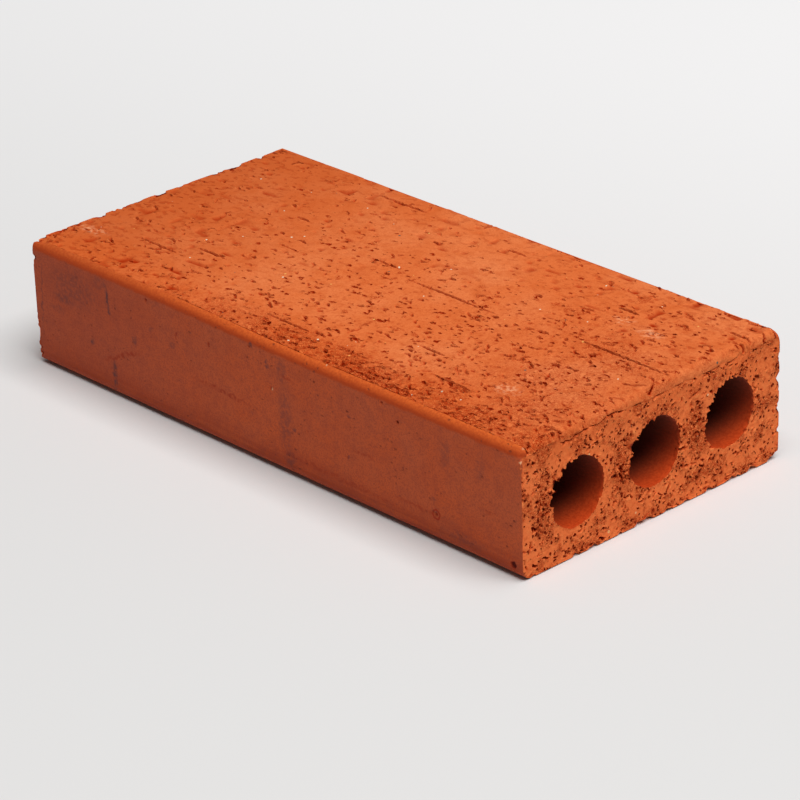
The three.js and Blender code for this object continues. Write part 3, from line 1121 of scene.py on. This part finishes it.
dents = add(tree, "Math", dents, softer, **TIMES)
from_groove = add(tree, "SeparateXYZ", warped(tree, place, 2, 0.5), output="Y")
from_groove = add(tree, "Math", add(tree, "Math", from_groove, LIP_GROOVE), operation="ABSOLUTE")
groove = add(tree, "MapRange", from_groove, 0.3, 0.1, **SOFT)
groove = add(tree, "Math", groove, patches(tree, place, 7, 3, 0.38, 0.5, 0.1, 0.9), **TIMES)
# Painted shade: dents and the groove just inside the lip are painted darker
for hollow in (dents, groove):
    tone = add(tree, "Mix", hollow, tone, RECESS_SHADE, **TINT)
height = with_relief(tree, height, (dents, -0.4), (groove, -0.3))

# %% Scraped clay: rubbed patches and grains
RUBBED_TONE = "#F8AE80"
RUBBED = [  # x, y and reach along and across in mm
    (72, -26.5, 6, 4), (65, 25, 5, 3), (77, 23.5, 6, 3), (-93, -33, 8, 3),
]
flaky = patches(tree, place, 1.2, 3, 0.42, 0.62, 0.0, 0.6)
for x_mm, y_mm, along_mm, across_mm in RUBBED:
    patch = smudge(tree, warped(tree, place, 2.5, 5), (x_mm, y_mm, HEIGHT), (along_mm, across_mm, 9))
    tone = add(tree, "Mix", add(tree, "Math", patch, flaky, **TIMES), tone, RUBBED_TONE, **TINT)
tone = specks(tree, place, tone, 3, 0.14, 0.4, "#EFE0C2")  # quartz
tone = specks(tree, place, tone, 4, 0.2, 0.4, "#F0B060")  # ochre
tone = specks(tree, place, tone, 5, 0.2, 0.5, "#5E564E")  # ironstone
finish_material(tree, shader, tone, height)
print(f"scraped clay: {len(tree.nodes)} nodes")

# %% [markdown]
# ## Wire-cut clay
#
# The ends: a wire drags through the column and pulls sand and small stones out of the clay, so the
# face is pitted all over, and crumbled where clay was pushed into a core. Just under the rolled arris
# it was smeared smooth.

# %% Wire-cut clay
FRESH_CLAY, SMEARED_CLAY = "#F47A42", "#D2602E"
wire_cut_clay, tree, shader, place = start_material("wire_cut_clay", roughness=0.95, specular=0.04)
zone = patches(tree, place, 6, 3, 0.38, 0.62, -0.3, 0.8)
for core_y, core_z in core_axes:
    beside = (0, core_y - CRUMBLED_BESIDE, core_z)
    crumbled = smudge(tree, warped(tree, place, 3, 3), beside, (2 * LENGTH, 6, 14))
    zone = add(tree, "Math", zone, crumbled, **MOST)
tone = add(tree, "Mix", 0.7, clay_tone(tree, place), FRESH_CLAY, **TINT)
up = add(tree, "SeparateXYZ", place, output="Z")
smeared = add(tree, "MapRange", up, CREASE_Z - 8, CREASE_Z - 3, 0.0, 0.4, **SOFT)
tone = add(tree, "Mix", smeared, tone, SMEARED_CLAY, **TINT)
tone, height = torn_clay(
    tree, place, tone, zone, cells=(1.9, 1.15), across="Z", shallow=1.0, pale=0.7, deepest=0.85,
)
tone = specks(tree, place, tone, 3.5, 0.22, 0.45, "#F4E8CF")  # quartz
tone = specks(tree, place, tone, 3.5, 0.22, 0.4, "#EDA850")  # ochre
finish_material(tree, shader, tone, height)
print(f"wire-cut clay: {len(tree.nodes)} nodes")

# %% [markdown]
# ## Die skin
#
# The long sides: clay that slid along a steel die, wetted so that it wouldn't stick. The die pressed
# it smooth, and the water drew fine clay and salts into a thin greyish film that dulls the red. The
# arris was wiped clean of it as the blade passed. Kiln marks stain the side, and stones left scuffs.

# %% Marks on the near long side
MARK_DEPTH = 6  # mm in from the side within which a mark shows, so that it runs onto the arris
STAINS = [  # x, z, reach along and across in mm, angle in degrees and strength
    (-82, 29, 16, 8, 0, 0.45), (-66.5, 30, 1.1, 6.5, -8, 1.0), (-65.8, 25.7, 1.1, 1.3, 0, 0.8),
    (-65, 6, 1.4, 8, 2, 0.9), (9, 16, 4, 15, 0, 0.5), (10.5, 5, 3, 4, 0, 0.6), (8, 31, 3, 5, 0, 0.5),
    (72, 27, 2.5, 7, 0, 0.35), (85, 28, 2.5, 6, 0, 0.35), (78, 4.5, 12, 2.5, 0, 0.4),
    (-74.3, 14.4, 1.2, 1.1, 0, 1.0), (-70, 34, 4, 3, 0, 0.4), (-87, 24, 6, 2, 0, 0.5),
    (-90, 20, 4, 1.6, 0, 0.5), (-55, 20.5, 1.6, 2, 0, 0.6), (-47, 26.5, 1.6, 1.4, 0, 0.5),
    (-38, 24.5, 2, 1.6, 0, 0.5), (35, 25.6, 0.9, 0.9, 0, 0.9), (-4.4, 35, 1, 1.4, 0, 0.8),
    (2.3, 31.3, 1.2, 2, 0, 0.9), (-5, 14, 0.8, 0.8, 0, 0.8), (12.7, 14.5, 0.8, 1.2, 0, 0.7),
    (34, 13.6, 0.8, 0.8, 0, 0.9), (67, 12.4, 1, 1, 0, 0.7), (-97, 21, 0.6, 17, 4, 0.6),
    (68, 8.6, 0.6, 0.6, 0, 1.0),
]
SCUFFS = [  # the same, where a stone dragged along
    (-61, 14, 13, 1.2, -24, 0.8), (-17, 16.6, 16, 1.1, 3, 0.8), (30, 6, 40, 1.2, 1, 0.5),
    (40, 16.6, 6, 1, -2, 0.6), (-36, 28, 0.7, 1.6, 0, 0.9), (-22.3, 29.7, 0.6, 1.2, 0, 0.9),
    (10, 29.5, 4, 1, 10, 0.6), (60, 8, 10, 0.8, 0, 0.5), (88, 16, 6, 0.8, 0, 0.4),
]
STONE_RINGS = [(68, 8.2, 1.3)]  # x, z and radius in mm, where shrinking clay cracked round a stone
BARED_GRAINS = [  # x, z and radius in mm
    (99.2, 37.6, 0.7), (99.3, 33.9, 0.6), (25, 37.6, 0.4), (4, 24.3, 0.6),
]
print(f"{len(STAINS)} stains, {len(SCUFFS)} scuffs and {len(BARED_GRAINS)} bared grains")

# %% Die skin: the wiped arris
ARRIS, ARRIS_LEFT_AND_SHADE, ARRIS_SHADED_LOW, ARRIS_SAND = "#DE6624", "#C45A22", "#BE4410", "#B23E0E"
FILM_TOP = HEIGHT - 2.4  # mm up to which the film reaches at most
die_skin_clay, tree, shader, place = start_material("die_skin_clay", roughness=0.8, specular=0.25)
x_place = add(tree, "SeparateXYZ", place, output="X")
height_above_bed = add(tree, "SeparateXYZ", place, output="Z")
sag = add(tree, "MapRange", x_place, SAG_FROM, SAG_FULL, 0.0, SAG, **SOFT)
unsagged_z = add(tree, "Math", height_above_bed, sag)
# Painted shade: the arris is painted darker down its curve, where it turns away from the lamp
down_arris = add(tree, "MapRange", unsagged_z, HEIGHT - 0.2, FILM_TOP + 0.3, 0.0, 0.95)
# Toward the left end the arris and the film are darker, partly painted shade and partly the clay's tone
toward_left = add(tree, "MapRange", x_place, 0.0, -80.0, 0.0, 0.8, **SOFT)
tone = add(tree, "Mix", toward_left, ARRIS, ARRIS_LEFT_AND_SHADE, **TINT)
tone = add(tree, "Mix", down_arris, tone, ARRIS_SHADED_LOW, **TINT)
tone = add(tree, "Mix", patches(tree, place, 0.7, 4, 0.35, 0.65, 0.0, 0.5), tone, ARRIS_SAND, **TINT)

# %% Die skin: the film
FILM, FILM_CLOUD, FILM_LEFT_AND_SHADE = "#CA5C32", "#CE5A2C", "#B85232"
FILM_LOW, FILM_SPECK = "#A83E1C", "#8E3C2C"  # low on the side, and in specks
film = patches(tree, place, 14, 3, 0.3, 0.65, 0.85, 1.0)
ragged_z = add(tree, "SeparateXYZ", warped(tree, place, 3, 1.2), output="Z")
ragged_z = add(tree, "Math", ragged_z, sag)
below = add(tree, "MapRange", ragged_z, FILM_TOP, FILM_TOP - 1.0, **SOFT)
film = add(tree, "Math", film, below, **TIMES)
film_tone = add(tree, "Mix", patches(tree, place, 20, 4, 0.38, 0.62), FILM, FILM_CLOUD, **TINT)
film_tone = add(tree, "Mix", toward_left, film_tone, FILM_LEFT_AND_SHADE, **TINT)
low = add(tree, "MapRange", height_above_bed, 11.0, 1.0, 0.0, 0.9, **SOFT)
streaky = patches(tree, place, 1.6, 3, 0.35, 0.65, 0.4, 1.0, (14, 1, 1))
low = add(tree, "Math", low, streaky, **TIMES)
film_tone = add(tree, "Mix", low, film_tone, FILM_LOW, **TINT)
for size, share in ((0.4, 0.4), (3.5, 0.2)):
    speckle = patches(tree, place, size, 4, 0.42, 0.65, 0.0, share)
    film_tone = add(tree, "Mix", speckle, film_tone, FILM_SPECK, **TINT)
tone = add(tree, "Mix", film, tone, film_tone, **TINT)

# %% Die skin: stains, scuffs and stones
STAIN, SCUFF, BARED = "#6A3A36", "#A0300E", "#EBC092"
patch = warped(tree, place, 2.5, 2.5)
mottled = patches(tree, place, 1.3, 4, 0.38, 0.6, 0.2, 1.0)
for marks, mark_tone in ((STAINS, STAIN), (SCUFFS, SCUFF)):
    for x_mm, z_mm, along_mm, up_mm, angle, strength in marks:
        reach = (along_mm, MARK_DEPTH, up_mm)
        mark = smudge(tree, patch, (x_mm, NEAR_SIDE, z_mm), reach, math.radians(angle))
        mark = add(tree, "Math", mark, mottled, **TIMES)
        mark = add(tree, "Math", mark, strength, **TIMES)
        tone = add(tree, "Mix", mark, tone, mark_tone, **TINT)

for x_mm, z_mm, radius in STONE_RINGS:
    stone = (x_mm, NEAR_SIDE, z_mm)
    from_ring = add(tree, "VectorMath", warped(tree, place, 1, 0.6), stone, operation="DISTANCE")
    from_ring = add(tree, "Math", from_ring, radius, **MINUS)
    from_ring = add(tree, "Math", from_ring, operation="ABSOLUTE")
    ring = add(tree, "MapRange", from_ring, 0.45, 0.1, 0.0, 0.8, **SOFT)
    # Painted shade in the crack round the stone
    tone = add(tree, "Mix", ring, tone, RECESS_SHADE, **TINT)

for x_mm, z_mm, radius in BARED_GRAINS:
    grains = warped(tree, place, 0.5, 0.8)
    bared = smudge(tree, grains, (x_mm, NEAR_SIDE, z_mm), (radius, MARK_DEPTH, radius))
    bared = add(tree, "Math", bared, 0.75, **TIMES)
    tone = add(tree, "Mix", bared, tone, BARED, **TINT)

# %% Die skin: pocks, flecks, grains and relief
FLECK = "#7E3018"
torn = add(tree, "Attribute", attribute_name="torn", output="Fac")
# Painted shade: pocks and other deep spots are painted darker, darkest in the middle
deep = add(tree, "MapRange", torn, 0.1, 0.8, 0.0, 0.8, **SOFT)
tone = add(tree, "Mix", deep, tone, RECESS_SHADE, **TINT)
tone = add(tree, "Mix", add(tree, "MapRange", torn, 0.4, 0.8, 0.0, 0.9), tone, DEEP_RECESS_SHADE, **TINT)
flecks, _ = small_tears(
    tree, place, size=1.1, spared=0.8, across="Z", shallow=0.2, stretch=(1.3, 1, 1),
)
often = patches(tree, place, 12, 2, 0.4, 0.6, 0.15, 0.8)
flecks = add(tree, "Math", flecks, often, **TIMES)
tone = add(tree, "Mix", flecks, tone, FLECK, **TINT)
tone = specks(tree, place, tone, 4, 0.16, 0.35, "#E8D4B0")  # quartz
tone = specks(tree, place, tone, 6, 0.2, 0.5, "#4E4650")  # ironstone
drawn = noise_at(tree, place, 0.9, 3, (12, 1, 1))
fine = noise_at(tree, place, 0.6, 3)
height = with_relief(tree, 0.0, (drawn, 0.05), (fine, 0.1), (flecks, -0.2))
finish_material(tree, shader, tone, height)
print(f"die skin: {len(tree.nodes)} nodes")

# %% [markdown]
# ## Bed and core walls
#
# Both slid along steel too. The bed is plain clay with long drag lines. The cores are smooth, and
# they get painted shade, darker further in and higher up, where little light gets in.

# %% Bed
bed_clay, tree, shader, place = start_material("bed_clay", roughness=0.9, specular=0.25)
drawn = noise_at(tree, place, 1.2, 3, (14, 1, 1))
streaks = add(tree, "MapRange", drawn, 0.45, 0.7, 0.0, 0.5, **SOFT)
tone = add(tree, "Mix", streaks, clay_tone(tree, place), SAND, **TINT)
finish_material(tree, shader, tone, with_relief(tree, 0.0, (drawn, 0.2)))
print(f"bed: {len(tree.nodes)} nodes")

# %% Core walls
# Painted shade: the core walls are painted darker further in and higher up, where little light reaches
WALL, WALL_SAND, CORE_SHADE = "#CC481A", "#BC3E14", "#693124"
SHADE_RISE = 0.7  # mm further in that a millimetre of height counts as
SHADE_FROM, SHADE_FULL = 8.0, 24.0  # mm in from the mouth
core_wall_clay, tree, shader, place = start_material("core_wall_clay", roughness=0.9, specular=0.1)
fine = noise_at(tree, place, 0.8, 3)
grain = add(tree, "MapRange", fine, 0.35, 0.65, **SOFT)
tone = add(tree, "Mix", grain, WALL, WALL_SAND, **TINT)
from_middle = add(tree, "Math", add(tree, "SeparateXYZ", place, output="X"), operation="ABSOLUTE")
inward = add(tree, "Math", END_X, from_middle, **MINUS)
upward = add(tree, "Math", add(tree, "SeparateXYZ", place, output="Z"), SHADE_RISE, **TIMES)
painted_shade = add(tree, "MapRange", add(tree, "Math", inward, upward), SHADE_FROM, SHADE_FULL, **SOFT)
tone = add(tree, "Mix", painted_shade, tone, CORE_SHADE, **TINT)
finish_material(tree, shader, tone, with_relief(tree, 0.0, (fine, 0.08)))
print(f"core walls: {len(tree.nodes)} nodes")

# %% The materials on the brick
by_kind = {
    SCRAPED: scraped_clay, SKIN: die_skin_clay, BED: bed_clay, CUT: wire_cut_clay, CORE: core_wall_clay,
}
for kind in sorted(by_kind):
    brick_mesh.materials.append(by_kind[kind])
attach(brick, "root")
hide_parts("brick")
print(f"{len(brick_mesh.materials)} materials")

# %% [markdown]
# ## Stage
#
# A plain pale floor with one large soft lamp above and a little to the right, and a dim white world.
# The lamp's size sets how soft the shadow's edge is, and the world how dark the shaded side gets.
# The floor's colour carries painted light for the backdrop: it is painted brighter toward the back,
# as a sweep of paper looks brighter where it turns up. What lies beyond the floor shows only from low
# down, and there the camera sees a pale world, which gives no light.

# %% Floor
FLOOR_SIZE = 3.6  # metres
# Painted light: the floor is painted brighter from the near colour to the far one
FLOOR_NEAR, FLOOR_FAR = "#DEDDDC", "#F5F4F4"
BRIGHTENS_ALONG = (-0.349, 0.934, 0.0)  # the way in which the floor is painted brighter
BRIGHTENS_FROM, BRIGHTENS_TO = -100.0, 400.0  # mm from the brick's middle
GRAINS = 0.3  # mm that crumbs of clay under the bed hold the brick clear of the paper
bpy.ops.mesh.primitive_plane_add(size=FLOOR_SIZE, location=(0, 0, -GRAINS * MM))
floor = bpy.context.object
floor.name = "floor"
paper, tree, shader, place = start_material("backdrop_paper", roughness=0.9, specular=0.5)
along_floor = add(tree, "VectorMath", place, BRIGHTENS_ALONG, operation="DOT_PRODUCT")
share = add(tree, "MapRange", along_floor, BRIGHTENS_FROM, BRIGHTENS_TO, **SOFT)
tone = add(tree, "Mix", share, FLOOR_NEAR, FLOOR_FAR, **TINT)
tree.links.new(tone, shader.inputs["Base Color"])
floor.data.materials.append(paper)
print(f"floor {FLOOR_SIZE} m wide, {GRAINS} mm under the bed")

# %% Light
WORLD_STRENGTH = 0.105
BACKDROP = "#E6E5E4"  # what the camera alone sees beyond the floor, at a low angle
LAMP_WAY = Vector((0.34, -0.01, 1)).normalized()
LAMP_DISTANCE, LAMP_SIZE = 3.2, 2.5  # metres
LAMP_POWER = 121.5  # watts

world = bpy.data.worlds.new("studio")
world.use_nodes = True
tree = world.node_tree
dim = tree.nodes["Background"]
dim.inputs["Color"].default_value = (1, 1, 1, 1)
dim.inputs["Strength"].default_value = WORLD_STRENGTH
backdrop = add(tree, "Background", BACKDROP, 1.0)
by_camera = add(tree, "LightPath", output="Is Camera Ray")
world_shown = add(tree, "MixShader", by_camera, dim.outputs["Background"], backdrop)
tree.links.new(world_shown, tree.nodes["World Output"].inputs["Surface"])
bpy.context.scene.world = world

softbox = bpy.data.lights.new("softbox", "AREA")
softbox.size = LAMP_SIZE
softbox.energy = LAMP_POWER
lamp = bpy.data.objects.new("softbox", softbox)
lamp.location = LAMP_WAY * LAMP_DISTANCE
lamp.rotation_euler = (-LAMP_WAY).to_track_quat("-Z", "Y").to_euler()
bpy.context.scene.collection.objects.link(lamp)
print(f"softbox {LAMP_SIZE} m wide, {LAMP_DISTANCE} m away")
